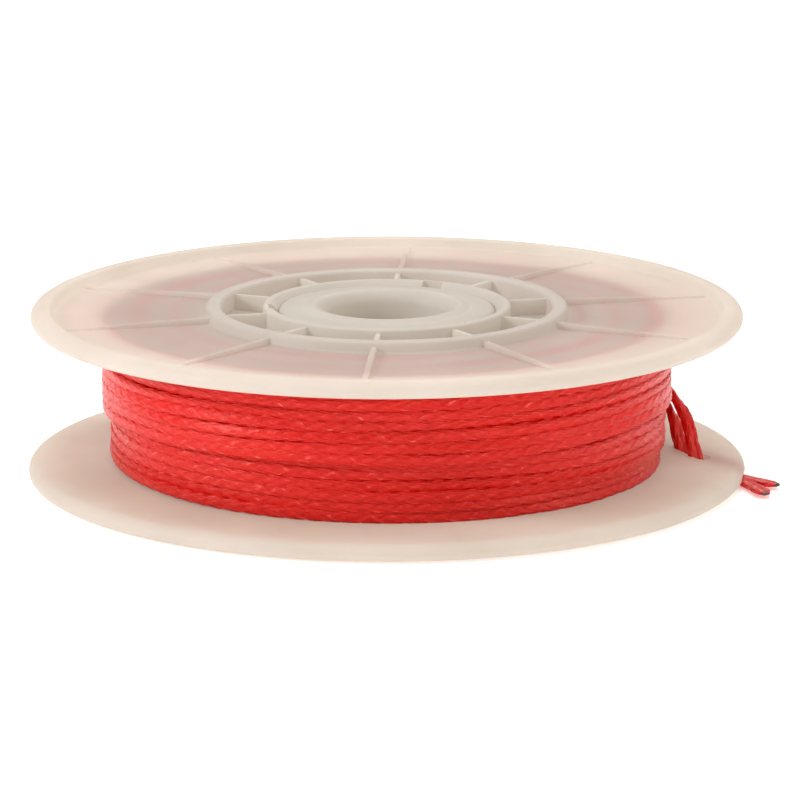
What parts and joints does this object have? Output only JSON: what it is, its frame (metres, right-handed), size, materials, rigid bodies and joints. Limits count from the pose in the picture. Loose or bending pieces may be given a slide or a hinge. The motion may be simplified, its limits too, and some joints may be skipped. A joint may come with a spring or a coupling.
{
  "type": "chalk line refill spool",
  "caption": "Snap-together flanged plastic spool with a spindle bore, wound with red braided chalk line whose two ends leave under the rim.",
  "frame": {"origin": "centre of the face that the spool lies on, without the free line ends", "axes": "+Z along the spool's axis towards the top half, +X towards the slot that the line ends leave by"},
  "size_m": [0.0746, 0.0714, 0.0172],
  "materials": {
    "spool_plastic": "translucent natural polypropylene, satin",
    "braided_line": "braided synthetic line, slightly shiny, ends melted dark"
  },
  "bodies": {
    "root": {"bottom_half": "spool_plastic", "top_half": "spool_plastic", "line_winding": "braided_line", "line_end_a": "braided_line", "line_end_b": "braided_line"}
  },
  "joints": []
}
